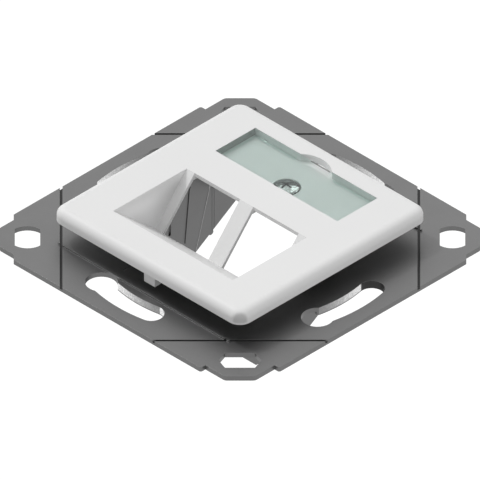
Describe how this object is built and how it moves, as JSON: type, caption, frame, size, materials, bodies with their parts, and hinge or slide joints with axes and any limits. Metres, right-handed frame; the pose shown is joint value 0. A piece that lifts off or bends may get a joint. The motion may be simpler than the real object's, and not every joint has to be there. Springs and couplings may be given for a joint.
{
  "type": "keystone module holder",
  "caption": "Flush keystone module holder: square cover plate with a wedge-shaped port recess and a clear label window, on a cast support frame with curved screw slots and break-off corners.",
  "frame": {"origin": "centre of the support frame, in the plane of the pads that lie on the wall", "axes": "+Z into the room, +Y up on the wall towards the label window, +X to the right as seen from the room"},
  "size_m": [0.071, 0.071, 0.0224],
  "materials": {
    "casting": "dark grey, fine satin",
    "cover": "white, soft gloss",
    "window": "clear, faintly green",
    "screw": "bright zinc plating"
  },
  "bodies": {
    "holder": {"support_frame": "casting", "cover_plate": "cover", "cover_screw": "screw"},
    "window": {"label_window": "window"}
  },
  "joints": [
    {"name": "window_lift", "type": "slide", "parent": "holder", "child": "window", "axis": [0, 0, 1], "range_m": [0, 0.02]}
  ]
}
